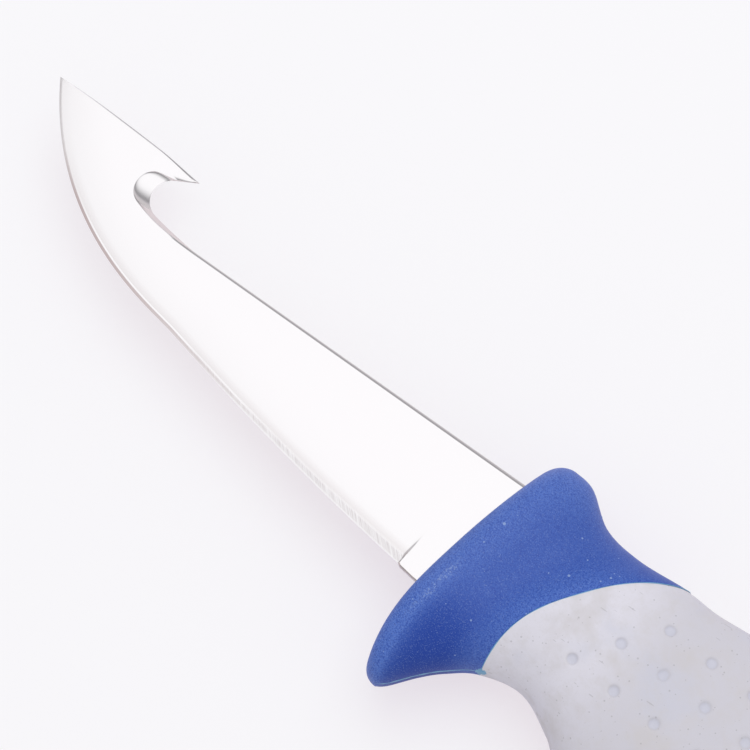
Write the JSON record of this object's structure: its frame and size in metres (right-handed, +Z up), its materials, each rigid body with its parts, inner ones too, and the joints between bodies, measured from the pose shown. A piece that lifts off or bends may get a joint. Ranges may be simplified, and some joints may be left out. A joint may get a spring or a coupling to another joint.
{
  "type": "fishing knife",
  "caption": "Fixed-blade fishing knife: a slim ground blade with a line-cutting hook behind the point, a flared guard, a dimpled soft grip and a butt cap with a lanyard hole.",
  "frame": {"origin": "the middle of the knife's box, on the plane that the knife lies on", "axes": "+X runs from the butt to the point, +Y from the spine to the cutting edge, +Z up from the flat"},
  "size_m": [0.225, 0.051, 0.024],
  "materials": {
    "blade_steel": "satin stainless steel, bright, with fine lines across the edge bevel",
    "core_plastic": "hard moulded plastic, hidden under the soft skin",
    "blue_rubber": "matte soft plastic with a fine moulded grain",
    "grey_rubber": "matte soft plastic with a fine moulded grain"
  },
  "bodies": {
    "root": {"blade": "blade_steel", "handle_core": "core_plastic", "guard": "blue_rubber", "grip": "grey_rubber", "butt_cap": "blue_rubber"}
  },
  "joints": []
}
